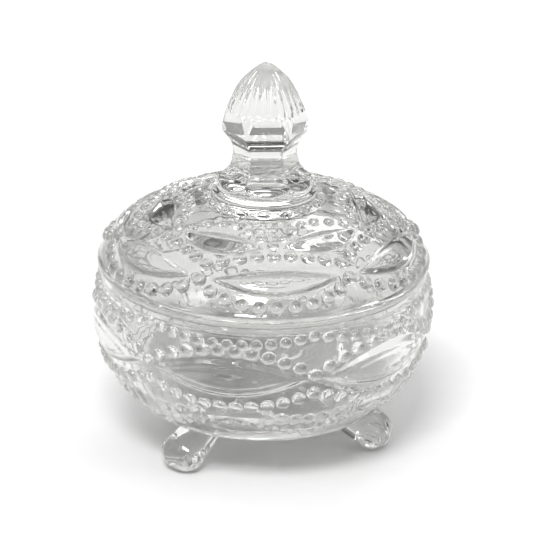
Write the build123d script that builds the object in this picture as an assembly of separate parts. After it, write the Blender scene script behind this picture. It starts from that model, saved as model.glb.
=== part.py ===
from build123d import *
import math
import os

# Lidded powder jar in clear pressed glass, in millimetres: a round bowl on three scroll feet,
# and a domed lid with a hexagonal, pointed finial. The two pieces are each moulded in one.
# The origin is on the table under the middle of the jar, +Z is up and -Y is the front.
# Outlines are drawn as (distance from the axis, height), and angles are about +Z from +X.

# Driving dimensions
total_height = 134.7
rim_height = 64.0
base_height = 14.7
belly_radius = 56.6
belly_height = 49.7

# Bowl
base_radius = 37.8
floor_thickness = 5.8
floor_height = base_height + floor_thickness
floor_radius = 30.0
band_radius = 54.8
band_height = rim_height - 5.4
shoulder = (band_radius + 0.6, band_height - 0.8)
lower_wall = (46.8, base_height + 7.9)
middle_wall = (52.9, base_height + 16.9)
mouth_radius = 51.6
ledge_height = band_height
ledge_radius = 49.8
upper_inside = (48.9, 40.0)
lower_inside = (43.6, 27.0)

# Feet
foot_count = 3
first_foot_angle = -132.0
foot_middle = 38.9
scroll_radius = 6.3
scroll_height = 6.15
scroll_half_width = 5.9
scroll_rounding = 3.6
web_half_width = 4.8
web_inner_radius = 13.0
web_outer_radius = 38.6
web_top = base_height + 1.5
eye_radius = 3.2
eye_proud = 0.3

# Lid
lid_clearance = 0.4
flange_radius = 55.8
flange_thickness = 2.7
flange_chamfer = 0.4
dome_rise = 25.9
dome_centre = rim_height - 1.5
skirt_radius = mouth_radius - lid_clearance
skirt_bottom = rim_height - 3.5
hollow_radius = 49.0
hollow_rise = 21.8
hollow_centre = rim_height - 2.0

# Finial on top of the lid
collar_radius = 20.8
collar_step = 0.8
disc_radius = 15.8
disc_edge_radius = 17.5
disc_height = 91.4
disc_foot_height = disc_height - 3.0
disc_edge_height = disc_height - 1.4
neck_apothem = 9.4
neck_height = 102.8
chamfer_start = 105.6
belt_apothem = 12.6
belt_radius = 14.6
belt_height = 111.5
flare_middle = (11.8, 97.0)
facets = 6
first_facet_angle = -86.0
facet_reach = 30.0
sunk = 1.0


def turned(*edges):
    """Solid turned about the Z axis from the edges of a closed outline in the XZ plane."""
    face = make_face(Plane.XZ * Curve(edges))
    return revolve(face, Axis.Z)


def corners(*points):
    """Straight edges through the points, in order."""
    return Polyline(*points).edges()


def height_on_ellipse(radius, semi_radius, rise, centre):
    """Height above the table of a dome's ellipse at a distance from the axis."""
    return centre + rise * math.sqrt(1.0 - (radius / semi_radius) ** 2)


def bowl_shell():
    """The round bowl without its feet."""
    outside = Spline(
        (base_radius, base_height),
        lower_wall,
        middle_wall,
        (belly_radius, belly_height),
        shoulder,
        tangents=((1.0, 0.45), (-0.3, 1.0)),
    )
    rim = corners(
        shoulder,
        (band_radius, band_height),
        (band_radius, rim_height),
        (mouth_radius, rim_height),
        (mouth_radius, ledge_height),
        (ledge_radius, ledge_height),
    )
    inside = Spline(
        (ledge_radius, ledge_height),
        upper_inside,
        lower_inside,
        (floor_radius, floor_height),
        tangents=((0.0, -1.0), (-1.0, 0.0)),
    )
    middle = corners(
        (floor_radius, floor_height),
        (0, floor_height),
        (0, base_height),
        (base_radius, base_height),
    )
    return turned(outside, *rim, inside, *middle)


def scroll():
    """Round-edged drum lying across +X, with a raised eye on each flank."""
    drum = Rot(90, 0, 0) * Cylinder(scroll_radius, 2.0 * scroll_half_width)
    drum = fillet(drum.edges().filter_by(GeomType.CIRCLE), scroll_rounding)
    eyes = Rot(90, 0, 0) * Cylinder(eye_radius, 2.0 * (scroll_half_width + eye_proud))
    return Pos(foot_middle, 0, scroll_height) * (drum + eyes)


def web():
    """Rib that runs from the scroll in along the underside of the bowl."""
    lean = math.radians(20.0)
    low = (
        foot_middle - scroll_radius * math.sin(lean),
        scroll_height - scroll_radius * math.cos(lean),
    )
    side = corners(
        (foot_middle + 0.5 * scroll_radius, scroll_height),
        (web_outer_radius + 2.0, web_top),
        (web_inner_radius, web_top),
        (web_inner_radius, base_height),
        low,
        (foot_middle + 0.5 * scroll_radius, scroll_height),
    )
    return extrude(make_face(Plane.XZ * Curve(side)), web_half_width, both=True)


def foot():
    """One foot pointing along +X, ground flat where it stands on the table."""
    reach = 4.0 * foot_middle
    above_table = Pos(0, 0, floor_height) * Box(reach, reach, 2.0 * floor_height)
    return (scroll() + web()) & above_table


def make_bowl():
    """Bowl and feet in one piece of glass."""
    bowl = bowl_shell()
    pattern = foot()
    for index in range(foot_count):
        angle = first_foot_angle + 360.0 * index / foot_count
        bowl += Rot(0, 0, angle) * pattern
    return bowl


def dome():
    """The lid without its finial: flange, dome, collar and the skirt that drops into the bowl's mouth."""
    band_top = rim_height + flange_thickness
    start = math.degrees(math.asin((band_top - dome_centre) / dome_rise))
    end = math.degrees(math.acos(collar_radius / flange_radius))
    dome_edge = flange_radius * math.cos(math.radians(start))
    collar_foot = height_on_ellipse(collar_radius, flange_radius, dome_rise, dome_centre)
    outside = EllipticalCenterArc(
        (0, dome_centre),
        flange_radius,
        dome_rise,
        start,
        arc_size=end - start,
    )
    inside = EllipticalCenterArc((0, hollow_centre), hollow_radius, hollow_rise, 0, arc_size=90)
    crown = corners(
        (collar_radius, collar_foot),
        (collar_radius - collar_step, collar_foot + collar_step),
        (disc_edge_radius, disc_foot_height),
        (disc_edge_radius, disc_edge_height),
        (disc_radius, disc_height),
        (0, disc_height),
        (0, hollow_centre + hollow_rise),
    )
    skirt = corners(
        (hollow_radius, hollow_centre),
        (hollow_radius, skirt_bottom),
        (skirt_radius, skirt_bottom),
        (skirt_radius, rim_height),
        (flange_radius, rim_height),
        (flange_radius, band_top - flange_chamfer),
        (dome_edge, band_top),
    )
    return turned(outside, *crown, inside, *skirt)


def finial():
    """Six-sided neck and bud cut from a round blank that ends in a blunt point."""
    root = disc_height - sunk
    blank = turned(
        *corners((0, root), (disc_radius, root), (disc_radius, neck_height), (belt_radius, belt_height)),
        Spline(
            (belt_radius, belt_height),
            (0.88 * belt_radius, belt_height + 7.2),
            (0.60 * belt_radius, belt_height + 15.9),
            (0.33 * belt_radius, belt_height + 20.3),
            (0, total_height),
            tangents=((-0.1, 1.0), (-1.0, 0.15)),
        ),
        *corners((0, total_height), (0, root)),
    )
    for index in range(facets // 2):
        blank &= Rot(0, 0, first_facet_angle + 360.0 * index / facets) * facet_pair()
    return blank


def facet_pair():
    """Block between two opposite facets: flare up from the disc, neck, chamfer and the bud's belt."""
    top = total_height + 5.0
    low = disc_height - 1.5

    def half(side):
        flare = Spline(
            (side * disc_edge_radius, low),
            (side * flare_middle[0], flare_middle[1]),
            (side * neck_apothem, neck_height),
            tangents=((-side * 0.9, 1.0), (0.0, 1.0)),
        )
        upper = corners(
            (side * neck_apothem, neck_height),
            (side * neck_apothem, chamfer_start),
            (side * belt_apothem, belt_height),
            (side * belt_apothem, top),
        )
        return [flare, *upper]

    outline = [
        *half(1.0),
        *corners((belt_apothem, top), (-belt_apothem, top)),
        *half(-1.0),
        *corners((-disc_edge_radius, low), (disc_edge_radius, low)),
    ]
    return extrude(make_face(Plane.XZ * Curve(outline)), facet_reach, both=True)


def make_lid():
    """Lid and finial in one piece of glass."""
    return dome() + finial()


os.makedirs("parts", exist_ok=True)
export_step(make_bowl(), "parts/bowl.step")
export_step(make_lid(), "parts/lid.step")
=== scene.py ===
import math

import bmesh
import bpy
import numpy as np
from mathutils import Matrix, Quaternion, Vector


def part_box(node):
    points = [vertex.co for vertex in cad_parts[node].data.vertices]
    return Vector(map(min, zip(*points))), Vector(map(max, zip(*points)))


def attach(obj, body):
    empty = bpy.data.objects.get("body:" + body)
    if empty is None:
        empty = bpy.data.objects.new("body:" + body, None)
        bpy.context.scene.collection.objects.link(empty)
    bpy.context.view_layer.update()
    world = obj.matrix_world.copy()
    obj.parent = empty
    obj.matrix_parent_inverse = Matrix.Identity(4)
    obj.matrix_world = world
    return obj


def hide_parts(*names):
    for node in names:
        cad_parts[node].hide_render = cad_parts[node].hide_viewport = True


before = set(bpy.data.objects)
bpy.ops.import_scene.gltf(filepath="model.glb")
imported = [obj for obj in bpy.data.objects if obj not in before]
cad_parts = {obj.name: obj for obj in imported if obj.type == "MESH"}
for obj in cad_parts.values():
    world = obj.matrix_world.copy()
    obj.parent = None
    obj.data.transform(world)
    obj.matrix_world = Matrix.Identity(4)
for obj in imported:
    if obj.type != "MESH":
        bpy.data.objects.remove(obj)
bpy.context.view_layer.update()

# Lidded powder jar of clear pressed glass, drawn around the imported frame. Metres, +Z up, -Y front.
# Outlines are (distance from the axis, height). Angles round the axis run from the front towards +X.
MM = 0.001
bowl_low, bowl_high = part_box("bowl")
lid_low, lid_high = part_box("lid")

# Driving dimensions, from the frame
rim_height = bowl_high.z
belly_radius = bowl_high.x
flange_radius = lid_high.x
skirt_bottom = lid_low.z
tip_height = lid_high.z

# Bowl
drawn_belly = 56.6 * MM  # belly radius that the bowl's outline is drawn for
band_radius = 54.8 * MM
band_depth = 5.2 * MM
mouth_radius = 51.6 * MM
ledge_radius = 49.8 * MM
bowl_floor_height = 20.5 * MM
wall_points = (
    (54.9, 58.2), (55.6, 55.6), (56.0, 49.7), (55.2, 40.6),
    (52.6, 31.6), (46.8, 22.6), (41.8, 17.0), (37.8, 14.7),
)

# Lid
dome_centre = rim_height - 1.5 * MM
dome_rise = 25.9 * MM
flange_top = rim_height + 2.7 * MM
skirt_radius = 51.2 * MM
hollow_radius = 49.0 * MM
hollow_rise = 21.8 * MM
hollow_centre = rim_height - 2 * MM
collar_radius = 20.8 * MM

# Finial
hex_angle = math.radians(4.0)
disc_height = 91.4 * MM
disc_radius = 15.8 * MM
disc_edge_radius = 17.5 * MM
edge_round = 0.25 * MM
finial_flutes = 24
collar_beads = 16
drawn_tip = 134.7  # height of the tip that the bud's outline is drawn for, in millimetres
bud_points = (
    (0.4, 134.68), (2.6, 133.6), (5.6, 131.0), (8.9, 127.3),
    (12.0, 120.9), (13.9, 115.6), (14.6, 111.5),
)

# Feet
foot_angles = [math.radians(a) for a in (-42.0, 78.0, 198.0)]
scroll_radius = 6.3 * MM
scroll_half_width = 5.9 * MM
scroll_from_axis = 38.9 * MM
scroll_height = 6.25 * MM
web_top = 16.2 * MM
web_half_width = 4.8 * MM
web_middle = 25.3 * MM
web_half_length = 12.6 * MM

# Pattern: six panels round the bowl and six round the lid
CELLS = 6
HALF_CELL = math.pi / CELLS
bowl_panel_angle = math.radians(-12.0)
lid_panel_angle = math.radians(5.0)

# Grid columns round the jar
bowl_columns = 528
lid_columns = 600
finial_columns = 300
hollow_columns = 200
inner_columns = 176
row_step = 0.58 * MM
plain_step = 4 * MM
fine_from_radius = 36 * MM  # the dome has half as many columns inside this radius


def spline(points, step):
    """Points about a step apart along a smooth curve through the given (radius, height) points."""
    p = np.array(points, float)
    knots = np.concatenate([[0.0], np.cumsum(np.linalg.norm(np.diff(p, axis=0), axis=1) ** 0.5)])
    slopes = np.gradient(p, knots, axis=0, edge_order=2 if len(p) > 2 else 1)
    dense = []
    t = np.linspace(0, 1, 60, endpoint=False)[:, None]
    for i in range(len(p) - 1):
        width = knots[i + 1] - knots[i]
        dense.append(
            (2 * t**3 - 3 * t**2 + 1) * p[i]
            + (t**3 - 2 * t**2 + t) * width * slopes[i]
            + (3 * t**2 - 2 * t**3) * p[i + 1]
            + (t**3 - t**2) * width * slopes[i + 1]
        )
    dense = np.vstack([*dense, p[-1:]])
    return spaced(dense, step)


def spaced(path, step):
    """A path of (radius, height) points, respaced evenly at about the given step."""
    along = np.concatenate([[0.0], np.cumsum(np.linalg.norm(np.diff(path, axis=0), axis=1))])
    count = max(1, round(along[-1] / step))
    at = np.linspace(0, along[-1], count + 1)
    return np.stack([np.interp(at, along, path[:, 0]), np.interp(at, along, path[:, 1])], axis=1)


def straight(*points, step=0.8 * MM):
    """Straight runs through the points, with the corners kept."""
    runs = [spaced(np.array([a, b], float), step) for a, b in zip(points[:-1], points[1:])]
    return np.vstack([runs[0], *[r[1:] for r in runs[1:]]])


def normals(path):
    """Unit normals of a path, to the right of its direction of travel."""
    d = np.gradient(path, axis=0)
    d /= np.linalg.norm(d, axis=1)[:, None]
    return np.stack([-d[:, 1], d[:, 0]], axis=1)


def arc_lengths(path):
    return np.concatenate([[0.0], np.cumsum(np.linalg.norm(np.diff(path, axis=0), axis=1))])


def angles_of(columns):
    return np.arange(columns) * (2 * math.pi / columns)


def rings_of(radius, height, columns):
    """Rings of points from radius and height, each an array of rows, or of rows by columns."""
    theta = angles_of(columns)
    radius, height = (x if np.ndim(x) == 2 else x[:, None] for x in (radius, height))
    radius, height = (np.broadcast_to(x, (len(x), columns)) for x in (radius, height))
    grid = np.stack([radius * np.sin(theta), -radius * np.cos(theta), height], axis=2)
    return list(grid)


def relieved(path, out, height, columns):
    """Rings along a path, moved out by the relief's height."""
    radius = path[:, 0][:, None] + height * out[:, 0][:, None]
    level = path[:, 1][:, None] + height * out[:, 1][:, None]
    return rings_of(radius, level, columns)


def closed_mesh(name, rings):
    """One closed mesh from rings of points between two poles.

    A ring may have a whole multiple of its neighbour's points.
    """
    starts = np.concatenate([[0], np.cumsum([len(r) for r in rings])])
    faces = []
    for i in range(len(rings) - 1):
        a, b = len(rings[i]), len(rings[i + 1])
        base_a, base_b = int(starts[i]), int(starts[i + 1])
        if a == b:
            j = np.arange(a)
            k = (j + 1) % a
            faces += np.stack([base_a + j, base_a + k, base_b + k, base_b + j], axis=1).tolist()
        elif a > b:
            faces += [f[::-1] for f in fans(base_b, b, base_a, a)]
        else:
            faces += fans(base_a, a, base_b, b)
    mesh = bpy.data.meshes.new(name)
    mesh.from_pydata(np.vstack(rings).tolist(), [], faces)
    mesh.validate()
    if signed_volume(mesh) < 0:
        mesh.flip_normals()
    return mesh


def fans(base_few, few, base_many, many):
    """Faces between a ring of few points and one of many."""
    if few == 1:
        return [[base_few, base_many + (j + 1) % many, base_many + j] for j in range(many)]
    ratio = many // few
    made = []
    for j in range(few):
        left, right = base_few + j, base_few + (j + 1) % few
        middle = ratio // 2
        first = j * ratio
        for k in range(ratio):
            near = left if k < middle else right
            made.append([near, base_many + (first + k + 1) % many, base_many + first + k])
        made.append([left, right, base_many + (first + middle) % many])
    return made


def signed_volume(mesh):
    bm = bmesh.new()
    bm.from_mesh(mesh)
    volume = bm.calc_volume(signed=True)
    bm.free()
    return volume


# ---- Relief ---------------------------------------------------------------------------------


def cell_angles(columns, panel_angle):
    """Angle of each column from the middle of its own cell, from -HALF_CELL to HALF_CELL."""
    turned = angles_of(columns) - panel_angle + HALF_CELL
    return np.mod(turned, 2 * HALF_CELL) - HALF_CELL


def scallop(middle, end, power=2.0):
    """One arch of a string of beads, as a function from the angle in a cell to the distance along."""
    return lambda phi: middle + (end - middle) * np.abs(phi / HALF_CELL) ** power


def beads_along(curve, path, s, count):
    """Places of evenly spaced beads along one cell's arch, as (angle, distance) pairs."""
    phi = np.linspace(-HALF_CELL, HALF_CELL, 400)
    at = curve(phi)
    radius = np.interp((at[1:] + at[:-1]) / 2, s, path[:, 0])
    along = np.concatenate([[0.0], np.cumsum(np.hypot(np.diff(phi) * radius, np.diff(at)))])
    angles = np.interp(np.arange(count) / count * along[-1], along, phi)
    return list(zip(angles, np.interp(angles, phi, at)))


def bead_string(path, s, out, places, panel_angle, bead_radius, bead_height):
    """Mesh of one string of round beads all the way round the jar, half sunk in an outline's surface."""
    sunk = 0.3 * MM
    bm = bmesh.new()
    for angle, at in places:
        r, z = np.interp(at, s, path[:, 0]), np.interp(at, s, path[:, 1])
        normal_r, normal_z = np.interp(at, s, out[:, 0]), np.interp(at, s, out[:, 1])
        for cell in range(CELLS):
            theta = angle + panel_angle + cell * 2 * HALF_CELL
            front = Vector((math.sin(theta), -math.cos(theta), 0))
            normal = (front * normal_r + Vector((0, 0, normal_z))).normalized()
            turn = normal.to_track_quat("Z", "Y").to_matrix().to_4x4()
            shape = Matrix.Diagonal((bead_radius, bead_radius, bead_height + sunk, 1))
            place = Matrix.Translation(front * r + Vector((0, 0, z)) - normal * sunk)
            whole = place @ turn @ shape
            bmesh.ops.create_uvsphere(bm, u_segments=20, v_segments=9, radius=1.0, matrix=whole)
    mesh = bpy.data.meshes.new("beads")
    bm.to_mesh(mesh)
    bm.free()
    return mesh


def almond(phi, s, radius, middle, half_width, half_length, centre=0.0):
    """Distance in from an almond panel's edge, negative outside, and the place across it from -1 to 1."""
    u = (phi - centre + HALF_CELL) % (2 * HALF_CELL) - HALF_CELL
    share = np.clip(np.abs(u) / half_length, 0, 1.2)[None, :]
    half = half_width * (1 - share**2)
    slope = 2 * half_width * share / (half_length * radius[:, None])
    across = (s - middle)[:, None]
    inside = (half - np.abs(across)) / np.sqrt(1 + slope**2)
    return inside, across / np.maximum(half, 1e-6)


def rise(x):
    """Smooth step from 0 to 1."""
    x = np.clip(x, 0, 1)
    return x * x * (3 - 2 * x)


def bowl_relief(phi, s, radius):
    """Height of the bowl's moulded pattern. s is the distance down the outside from the rim."""
    relief = np.zeros((len(s), len(phi)))

    # almond panel with a bevel all round and a flat middle
    inside, _ = almond(phi, s, radius, 19.7 * MM, 7.0 * MM, math.radians(28.5))
    bevel = np.clip(inside / (2.1 * MM), 0, 1)
    panel = 1.25 * MM * bevel + 0.35 * MM * rise((inside - 3.4 * MM) / (0.8 * MM))
    np.maximum(relief, np.where(inside > 0, panel, 0), out=relief)

    # pendants between the panels: a fan of flutes with round heads, and a line across their ends
    opposite = (phi + 2 * HALF_CELL) % (2 * HALF_CELL) - HALF_CELL
    flute_pitch = math.radians(5.2)
    lobe = np.abs(np.cos(math.pi * (opposite / flute_pitch)))[None, :]
    heads = (36.0 - 3.4 * (opposite / math.radians(16)) ** 2) * MM
    heads = heads[None, :] - 1.6 * MM * (lobe**2 - 0.5)
    ends = (43.2 - 6.4 * (opposite / HALF_CELL) ** 2) * MM
    below_head = s[:, None] - heads
    above_end = ends[None, :] - s[:, None]
    in_fan = rise((math.radians(21) - np.abs(opposite)) / math.radians(2))[None, :]
    flutes = 1.0 * MM * lobe**0.8 * rise(below_head / (0.7 * MM)) * rise(above_end / (0.9 * MM)) * in_fan
    np.maximum(relief, flutes, out=relief)
    line = 0.6 * MM * np.exp(-(((above_end + 0.5 * MM) / (0.5 * MM)) ** 2))
    return np.maximum(relief, line)


def lid_relief(phi, s, radius):
    """Height of the lid's moulded pattern. s is the distance up the dome from its widest level."""
    relief = np.zeros((len(s), len(phi)))

    # outer almond panels, evenly crowned
    inside, across = almond(phi, s, radius, 15.3 * MM, 4.8 * MM, math.radians(25.5))
    crown = 1.25 * MM * np.clip(1 - across**2, 0, 1) ** 0.6 * rise(inside / (1.3 * MM)) ** 0.5
    np.maximum(relief, np.where(inside > 0, crown, 0), out=relief)

    # inner almond panels, with a ridge a little above the middle
    inside, across = almond(phi, s, radius, 31.0 * MM, 4.9 * MM, math.radians(23.8), HALF_CELL)
    ridge = 0.22
    slope = np.where(across < ridge, (across + 1) / (1 + ridge), (1 - across) / (1 - ridge))
    roof = 1.5 * MM * np.clip(slope, 0, 1) ** 0.75 * rise(inside / (1.0 * MM)) ** 0.5
    return np.maximum(relief, np.where(inside > 0, roof, 0))


# ---- Bowl -----------------------------------------------------------------------------------


def bowl_outline():
    """Outside of the bowl's wall from the rim down to the flat base."""
    scale = belly_radius / drawn_belly
    band = straight(
        (band_radius * scale, rim_height),
        (band_radius * scale, rim_height - band_depth),
        step=row_step,
    )
    wall = spline([(x * MM * scale, z * MM) for x, z in wall_points], row_step)
    return np.vstack([band, wall])


def bowl_beads():
    """Four strings of beads: under the rim, over the panels, under them and round the foot of the wall."""
    outline = bowl_outline()
    s, out = arc_lengths(outline), normals(outline)
    strings = (
        (scallop(8.0 * MM, 5.2 * MM), 12, 2.1, 1.4),
        (scallop(9.9 * MM, 18.6 * MM), 11, 2.5, 1.7),
        (scallop(31.0 * MM, 25.4 * MM), 11, 2.45, 1.7),
        (scallop(39.6 * MM, 46.2 * MM), 10, 1.8, 1.2),
    )
    made = []
    for curve, count, size, height in strings:
        places = beads_along(curve, outline, s, count)
        made.append(bead_string(outline, s, out, places, bowl_panel_angle, size * MM, height * MM))
    return made


def make_bowl():
    """The bowl without its beads and feet."""
    outline = bowl_outline()
    s = arc_lengths(outline)
    phi = cell_angles(bowl_columns, bowl_panel_angle)
    height = bowl_relief(phi, s, outline[:, 0])
    height *= rise((s[-1] - s) / (1.5 * MM))[:, None]
    wall = relieved(outline, normals(outline), height, bowl_columns)
    base_r, base_z = outline[-1]
    under = straight((base_r - 1.0 * MM, base_z), (6 * MM, base_z), step=plain_step)
    top = np.array([band_radius - 0.4 * MM, band_radius - 1.4 * MM])
    rim = straight(
        (mouth_radius + 0.4 * MM, rim_height),
        (mouth_radius, rim_height - 0.3 * MM),
        (mouth_radius, rim_height - 5.1 * MM),
        (mouth_radius - 0.4 * MM, rim_height - 5.4 * MM),
        (ledge_radius + 0.4 * MM, rim_height - 5.4 * MM),
        (ledge_radius, rim_height - 5.8 * MM),
    )
    inner = spline(
        [
            (ledge_radius, rim_height - 5.8 * MM), (49.6 * MM, 50 * MM), (48.6 * MM, 40 * MM),
            (43.6 * MM, 28 * MM), (30 * MM, bowl_floor_height),
        ],
        1.3 * MM,
    )
    floor = straight((29 * MM, bowl_floor_height), (6 * MM, bowl_floor_height), step=plain_step)
    rings = [np.array([[0, 0, base_z]])]
    rings += rings_of(under[::-1, 0], under[::-1, 1], inner_columns)
    rings += wall[::-1]
    rings += rings_of(top, np.full(2, rim_height), inner_columns)
    rings += rings_of(rim[:, 0], rim[:, 1], inner_columns)
    rings += rings_of(inner[1:, 0], inner[1:, 1], inner_columns)
    rings += rings_of(floor[:, 0], floor[:, 1], inner_columns)
    rings.append(np.array([[0, 0, floor[-1, 1]]]))
    return closed_mesh("bowl_glass", rings)


# ---- Lid ------------------------------------------------------------------------------------


def bud_outline():
    points = [(x * MM, tip_height - (drawn_tip - z) * MM) for x, z in bud_points]
    return spline(points, row_step)


def neck_apothem(z):
    """Distance from the axis to the middle of a facet of the neck and the bud's belt."""
    facet_middles = (
        (89.9, 19.0), (91.4, 17.5), (93.0, 15.6), (95.0, 13.4), (97.0, 11.75),
        (98.4, 10.45), (99.9, 9.8), (102.8, 9.35), (105.0, 9.4), (106.6, 9.75),
        (108.0, 10.4), (109.4, 11.3), (110.6, 12.2), (111.5, 12.6), (140.0, 12.6),
    )
    levels, apothems = np.array(facet_middles).T * MM
    return np.interp(z, levels, apothems)


def facet_angles(columns):
    turned = angles_of(columns) - hex_angle + HALF_CELL
    return np.mod(turned, 2 * HALF_CELL) - HALF_CELL


def soft_least(a, b, width):
    """The lesser of two lengths, rounded where they meet."""
    gap = np.clip(0.5 + 0.5 * (b - a) / width, 0, 1)
    return b + (a - b) * gap - width * gap * (1 - gap)


def finial_rings():
    """The finial from its tip down to the edge of its disc."""
    across = facet_angles(finial_columns)[None, :]
    spread = 1 / np.cos(across)
    bud = bud_outline()
    belt = bud[-1, 1]
    rings = [np.array([[0, 0, tip_height]])]
    # bud: flutes in a round, pointed body, with six flat faces cut in above the belt
    r, z = bud[:, 0][:, None], bud[:, 1][:, None]
    pitch = 2 * math.pi / finial_flutes
    place = np.mod(across / pitch, 1.0) * 2 - 1
    flute_end = belt + (6.3 + 2.2 * place**2) * MM
    depth = np.minimum(0.36 * pitch * r, 0.72 * MM)
    depth = depth * rise((z - flute_end) / (1.0 * MM)) * rise((tip_height - z) / (1.2 * MM))
    body = r - depth * (1 - place**2)
    rings += rings_of(soft_least(body, neck_apothem(z) * spread, edge_round), bud[:, 1], finial_columns)
    # neck: six hollow facets that flare into the round disc
    neck_step = 0.45 * MM
    levels = np.arange(belt - neck_step, disc_height + 0.2 * MM, -neck_step)
    disc = np.full((len(levels), 1), disc_radius)
    radius = soft_least(disc, neck_apothem(levels)[:, None] * spread, edge_round)
    rings += rings_of(radius, levels, finial_columns)
    # disc edge
    edge_radii = np.array([disc_radius, 15.9 * MM, 16.6 * MM, 17.3 * MM, disc_edge_radius])
    edge_levels = disc_height - np.array([0.0, 0.3, 0.5, 0.8, 1.2]) * MM
    rings += rings_of(edge_radii, edge_levels, finial_columns)
    return rings


def collar_rings():
    """Sloping collar with a ring of round beads, from the disc down to the dome."""
    bead_level = 19.3 * MM
    bead_half_width, bead_half_length, bead_height = 2.3 * MM, 1.7 * MM, 1.3 * MM
    foot_z = dome_centre + dome_rise * math.sqrt(1 - (collar_radius / flange_radius) ** 2)
    path = spline(
        [
            (disc_edge_radius, 89.9 * MM), (17.9 * MM, 88.6 * MM),
            (bead_level, 87.6 * MM), (collar_radius, foot_z + 0.5 * MM),
        ],
        0.35 * MM,
    )
    half_pitch = math.pi / collar_beads
    theta = np.mod(angles_of(finial_columns) + half_pitch, 2 * half_pitch) - half_pitch
    along = arc_lengths(path)
    sideways = theta[None, :] * bead_level / bead_half_width
    lengthways = (along - 0.58 * along[-1])[:, None] / bead_half_length
    bump = bead_height * np.clip(1 - (sideways**2 + lengthways**2), 0, 1) ** 0.6
    out = -normals(path)
    out = out if out[len(out) // 2, 1] > 0 else -out
    return relieved(path, out, bump, finial_columns)


def dome_path():
    """Dome from its widest level up to the collar."""
    t = np.linspace(0, math.acos(collar_radius / flange_radius), 600)
    dense = np.stack([flange_radius * np.cos(t), dome_centre + dome_rise * np.sin(t)], axis=1)
    return spaced(dense, row_step)


def dome_normals(path):
    out = -normals(path)
    return -out if out[0, 0] < 0 else out


def lid_beads():
    """Three strings of beads: under the outer panels, over them and over the inner panels."""
    path = dome_path()
    s, out = arc_lengths(path), dome_normals(path)
    strings = (
        (scallop(6.6 * MM, 14.4 * MM, 2.6), 10, 2.5, 1.6, 0.0),
        (scallop(26.4 * MM, 20.6 * MM), 8, 2.5, 1.6, 0.0),
        (scallop(41.3 * MM, 31.4 * MM), 7, 2.1, 1.4, HALF_CELL),
    )
    made = []
    for curve, count, size, height, shift in strings:
        places = beads_along(curve, path, s, count)
        made.append(bead_string(path, s, out, places, lid_panel_angle + shift, size * MM, height * MM))
    return made


def make_lid():
    """The lid and its finial without the dome's beads."""
    path = dome_path()
    s, out = arc_lengths(path), dome_normals(path)
    shown = path[:, 1] > flange_top
    path, s, out = path[shown], s[shown], out[shown]
    phi = cell_angles(lid_columns, lid_panel_angle)
    height = lid_relief(phi, s, path[:, 0])
    height *= rise((s - s[0]) / (0.8 * MM))[:, None] * rise((s[-1] - s) / (1.0 * MM))[:, None]
    dome = relieved(path, out, height, lid_columns)[::-1]
    upper_rows = int(np.sum(path[:, 0] <= fine_from_radius))
    flange = straight(
        (flange_radius - 0.35 * MM, flange_top - 0.1 * MM),
        (flange_radius, flange_top - 0.6 * MM),
        (flange_radius, rim_height + 0.5 * MM),
        (flange_radius - 0.4 * MM, rim_height + 0.08 * MM),
        (skirt_radius, rim_height + 0.05 * MM),
        (skirt_radius, skirt_bottom + 0.5 * MM),
        (skirt_radius - 0.5 * MM, skirt_bottom),
        (hollow_radius + 0.5 * MM, skirt_bottom),
        (hollow_radius, skirt_bottom + 0.4 * MM),
    )
    t = np.linspace(0, math.radians(88), 400)
    hollow = np.stack([hollow_radius * np.cos(t), hollow_centre + hollow_rise * np.sin(t)], axis=1)
    hollow = spaced(hollow, 1.4 * MM)
    rings = finial_rings() + collar_rings()
    rings += [ring[::2] for ring in dome[:upper_rows]]
    rings += dome[upper_rows:]
    rings += rings_of(flange[:, 0], flange[:, 1], hollow_columns)
    rings += rings_of(hollow[:, 0], hollow[:, 1], hollow_columns)
    rings.append(np.array([[0, 0, hollow[-1, 1] + 0.01 * MM]]))
    return closed_mesh("lid_glass", rings)


# ---- Feet -----------------------------------------------------------------------------------


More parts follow.
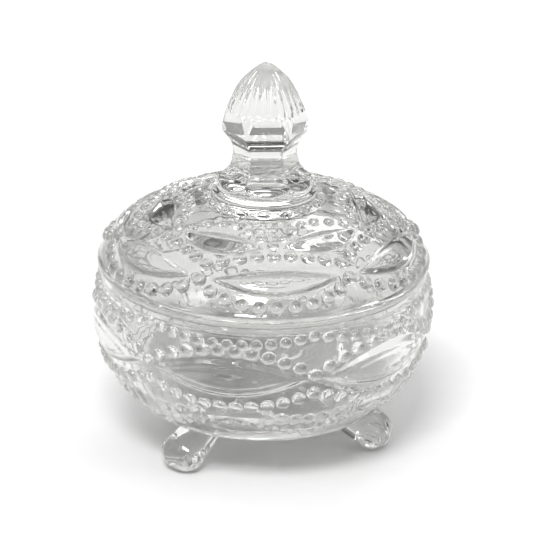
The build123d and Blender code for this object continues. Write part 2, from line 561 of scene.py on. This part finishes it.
def make_foot():
    """Closed mesh of one foot pointing to the front: a scroll with a round eye on each side, and its web."""
    bm = bmesh.new()
    for turn in np.linspace(0, 2 * math.pi, 40, endpoint=False):
        for tilt in np.linspace(-0.5 * math.pi, 0.5 * math.pi, 15):
            side = math.copysign(abs(math.sin(tilt)) ** 0.75, tilt)
            reach = scroll_radius * max(math.cos(tilt), 0.0) ** 0.6
            out = scroll_from_axis + reach * math.cos(turn)
            up = max(scroll_height + reach * math.sin(turn), 0.05 * MM)
            bm.verts.new((side * scroll_half_width, -out, up))
    for turn in np.linspace(0, 2 * math.pi, 32, endpoint=False):
        for height in (web_top - 1.4 * MM, web_top):
            across = web_half_width * math.sin(turn)
            bm.verts.new((across, -(web_middle + web_half_length * math.cos(turn)), height))
    hull = bmesh.ops.convex_hull(bm, input=bm.verts)
    inner = {v for v in hull["geom_interior"] + hull["geom_unused"] if isinstance(v, bmesh.types.BMVert)}
    bmesh.ops.delete(bm, geom=list(inner), context="VERTS")
    # each eye: a round button inside a ring
    button_radius, button_depth = 2.4 * MM, 0.85
    ring_radius, tube_radius = 3.8 * MM, 0.9 * MM
    for side in (-1, 1):
        at = side * (scroll_half_width - 0.6 * MM)
        button = bmesh.ops.create_uvsphere(bm, u_segments=32, v_segments=16, radius=button_radius)["verts"]
        for v in button:
            v.co = Vector((at + v.co.x * button_depth, v.co.y - scroll_from_axis, v.co.z + scroll_height))
        add_ring(bm, at, -scroll_from_axis, scroll_height, ring_radius, tube_radius)
    mesh = bpy.data.meshes.new("foot")
    bm.to_mesh(mesh)
    bm.free()
    piece = bpy.data.objects.new("foot", mesh)
    bpy.context.scene.collection.objects.link(piece)
    remesh = piece.modifiers.new("remesh", "REMESH")
    remesh.mode = "VOXEL"
    remesh.voxel_size = 0.55 * MM
    smooth = piece.modifiers.new("smooth", "SMOOTH")
    smooth.iterations = 4
    smooth.factor = 0.5
    made = applied(piece)
    bpy.data.objects.remove(piece)
    return made


def add_ring(bm, x, y, z, ring_radius, tube_radius):
    """A torus round an axis along X, added to the mesh."""
    turns, sides = 48, 12
    made = []
    for i in range(turns):
        a = 2 * math.pi * i / turns
        for k in range(sides):
            b = 2 * math.pi * k / sides
            reach = ring_radius + tube_radius * math.cos(b)
            place = (x + tube_radius * math.sin(b), y + reach * math.cos(a), z + reach * math.sin(a))
            made.append(bm.verts.new(place))
    for i in range(turns):
        for k in range(sides):
            i2, k2 = (i + 1) % turns, (k + 1) % sides
            corners = (i * sides + k, i * sides + k2, i2 * sides + k2, i2 * sides + k)
            bm.faces.new([made[c] for c in corners])


def applied(piece):
    """The piece's mesh with its modifiers applied."""
    graph = bpy.context.evaluated_depsgraph_get()
    return bpy.data.meshes.new_from_object(piece.evaluated_get(graph))


def joined(name, mesh, additions):
    """The mesh with others joined on. Each addition is a mesh and the angle to turn it to round the jar."""
    whole = bpy.data.objects.new(name, mesh)
    bpy.context.scene.collection.objects.link(whole)
    pieces = []
    for added, angle in additions:
        piece = bpy.data.objects.new("addition", added)
        piece.rotation_euler = (0, 0, angle)
        bpy.context.scene.collection.objects.link(piece)
        join = whole.modifiers.new("join", "BOOLEAN")
        join.operation = "UNION"
        join.solver = "MANIFOLD"
        join.object = piece
        pieces.append(piece)
    bpy.context.view_layer.update()
    made = applied(whole)
    for piece in [*pieces, whole]:
        bpy.data.objects.remove(piece)
    return made


# ---- Material -------------------------------------------------------------------------------


def glass(name):
    """Clear glass with faint noise in its tint, its gloss and a fine surface ripple."""
    material = bpy.data.materials.new(name)
    material.use_nodes = True
    nodes, links = material.node_tree.nodes, material.node_tree.links
    shader = nodes["Principled BSDF"]
    shader.inputs["IOR"].default_value = 1.52
    shader.inputs["Transmission Weight"].default_value = 1.0
    place = nodes.new("ShaderNodeTexCoord")
    tint_noise = nodes.new("ShaderNodeTexNoise")
    tint_noise.inputs["Scale"].default_value = 18
    tint = nodes.new("ShaderNodeMixRGB")
    tint.inputs[1].default_value = (0.805, 0.808, 0.795, 1)
    tint.inputs[2].default_value = (0.862, 0.865, 0.85, 1)
    links.new(place.outputs["Object"], tint_noise.inputs["Vector"])
    links.new(tint_noise.outputs["Fac"], tint.inputs[0])
    links.new(tint.outputs[0], shader.inputs["Base Color"])
    haze = nodes.new("ShaderNodeTexNoise")
    haze.inputs["Scale"].default_value = 90
    gloss = nodes.new("ShaderNodeMapRange")
    gloss.inputs["To Min"].default_value = 0.0
    gloss.inputs["To Max"].default_value = 0.03
    links.new(place.outputs["Object"], haze.inputs["Vector"])
    links.new(haze.outputs["Fac"], gloss.inputs["Value"])
    links.new(gloss.outputs["Result"], shader.inputs["Roughness"])
    ripple = nodes.new("ShaderNodeTexNoise")
    ripple.inputs["Scale"].default_value = 130
    ripple.inputs["Detail"].default_value = 1.0
    bump = nodes.new("ShaderNodeBump")
    bump.inputs["Strength"].default_value = 0.25
    bump.inputs["Distance"].default_value = 0.0003
    links.new(place.outputs["Object"], ripple.inputs["Vector"])
    links.new(ripple.outputs["Fac"], bump.inputs["Height"])
    links.new(bump.outputs["Normal"], shader.inputs["Normal"])
    return material


def show(mesh, name, body, node, material):
    """Puts a mesh in the scene as the piece that rides on a body and replaces a CAD node."""
    mesh.name = name
    mesh.materials.clear()
    mesh.materials.append(material)
    mesh.polygons.foreach_set("use_smooth", [True] * len(mesh.polygons))
    mesh.set_sharp_from_angle(angle=math.radians(62))
    piece = bpy.data.objects.new(name, mesh)
    bpy.context.scene.collection.objects.link(piece)
    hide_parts(node)
    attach(piece, body)


# ---- Studio ---------------------------------------------------------------------------------


def make_floor():
    """A round sheet of pale paper, just under the feet."""
    bm = bmesh.new()
    bmesh.ops.create_circle(bm, cap_ends=True, segments=96, radius=2.0)
    mesh = bpy.data.meshes.new("floor")
    bm.to_mesh(mesh)
    bm.free()
    floor = bpy.data.objects.new("floor", mesh)
    bpy.context.scene.collection.objects.link(floor)
    floor.location.z = -0.0001
    material = bpy.data.materials.new("floor_paper")
    material.use_nodes = True
    nodes, links = material.node_tree.nodes, material.node_tree.links
    shader = nodes["Principled BSDF"]
    shader.inputs["Roughness"].default_value = 0.9
    shader.inputs["Specular IOR Level"].default_value = 0.1
    grain = nodes.new("ShaderNodeTexNoise")
    grain.inputs["Scale"].default_value = 400
    tone = nodes.new("ShaderNodeMixRGB")
    tone.inputs[1].default_value = (0.90, 0.90, 0.90, 1)
    tone.inputs[2].default_value = (0.93, 0.93, 0.93, 1)
    links.new(grain.outputs["Fac"], tone.inputs[0])
    links.new(tone.outputs[0], shader.inputs["Base Color"])
    mesh.materials.append(material)


def make_world():
    """Studio walls: grey at the horizon, a dark band above it and light towards the ceiling."""
    world = bpy.data.worlds.new("studio")
    bpy.context.scene.world = world
    world.use_nodes = True
    nodes, links = world.node_tree.nodes, world.node_tree.links
    background = nodes["Background"]
    place = nodes.new("ShaderNodeTexCoord")
    split = nodes.new("ShaderNodeSeparateXYZ")
    ramp = nodes.new("ShaderNodeValToRGB")
    links.new(place.outputs["Generated"], split.inputs[0])
    links.new(split.outputs["Z"], ramp.inputs["Fac"])
    # each stop: the sine of the elevation, and the brightness there
    stops = ((0.0, 0.3), (0.15, 0.3), (0.3, 0.06), (0.4, 0.06), (0.6, 0.6), (1.0, 0.35))
    elements = ramp.color_ramp.elements
    while len(elements) < len(stops):
        elements.new(0.5)
    for element, (at, value) in zip(elements, stops):
        element.position = at
        element.color = (value, value, value, 1)
    links.new(ramp.outputs["Color"], background.inputs["Color"])
    background.inputs["Strength"].default_value = 1.0


def area_light(name, azimuth, elevation, distance, size, power):
    """A rectangular light facing the jar, from a direction in degrees and a distance in metres."""
    data = bpy.data.lights.new(name, "AREA")
    data.shape = "RECTANGLE"
    data.size, data.size_y = size
    data.energy = power
    light = bpy.data.objects.new(name, data)
    bpy.context.scene.collection.objects.link(light)
    a, e = math.radians(azimuth), math.radians(elevation)
    out = Vector((math.sin(a) * math.cos(e), -math.cos(a) * math.cos(e), math.sin(e)))
    light.location = out * distance + Vector((0, 0, 60 * MM))
    light.rotation_mode = "QUATERNION"
    light.rotation_quaternion = out.to_track_quat("Z", "Y")
    return light


def make_lights():
    """A big light overhead that the jar casts no shadow in, a key from the front and three windows."""
    overhead = area_light("overhead", 0, 88, 2.6, (3.0, 3.0), 18)
    blockers = bpy.data.collections.new("overhead_blockers")
    blockers.objects.link(bpy.data.objects["floor"])
    overhead.light_linking.blocker_collection = blockers
    area_light("key", -10, 50, 3.2, (1.0, 0.8), 64)
    area_light("left_window", -52, 38, 2.8, (0.7, 1.6), 12)
    area_light("right_window", 60, 34, 3.0, (0.6, 1.6), 10)
    area_light("back_window", 165, 40, 3.0, (1.6, 0.6), 14)


def make_camera():
    """A long lens from the front, looking down at the jar."""
    elevation = math.radians(22.0)
    distance = 1.5
    frame_width = 179.2 * MM  # width of the view at the jar
    roll = math.radians(0.8)
    data = bpy.data.cameras.new("camera")
    data.sensor_width = 36.0
    data.lens = 36.0 * distance / frame_width
    camera = bpy.data.objects.new("camera", data)
    bpy.context.scene.collection.objects.link(camera)
    target = Vector((1.0 * MM, 0, 62.0 * MM))
    back = Vector((0, -math.cos(elevation), math.sin(elevation)))
    camera.location = target + back * distance
    camera.rotation_mode = "QUATERNION"
    look = (-back).to_track_quat("-Z", "Y")
    camera.rotation_quaternion = look @ Quaternion((0, 0, 1), roll)
    data.clip_start, data.clip_end = 0.05, 20
    bpy.context.scene.camera = camera


foot_mesh = make_foot()
feet = [(foot_mesh, angle) for angle in foot_angles]
bowl_mesh = joined("bowl_glass", make_bowl(), feet + [(beads, 0.0) for beads in bowl_beads()])
lid_mesh = joined("lid_glass", make_lid(), [(beads, 0.0) for beads in lid_beads()])
show(bowl_mesh, "bowl_glass", "bowl", "bowl", glass("bowl_clear_glass"))
show(lid_mesh, "lid_glass", "lid", "lid", glass("lid_clear_glass"))
make_floor()
make_world()
make_lights()
make_camera()
scene = bpy.context.scene
scene.view_settings.view_transform = "Standard"
scene.cycles.max_bounces = 32
scene.cycles.transmission_bounces = 32
scene.cycles.glossy_bounces = 16
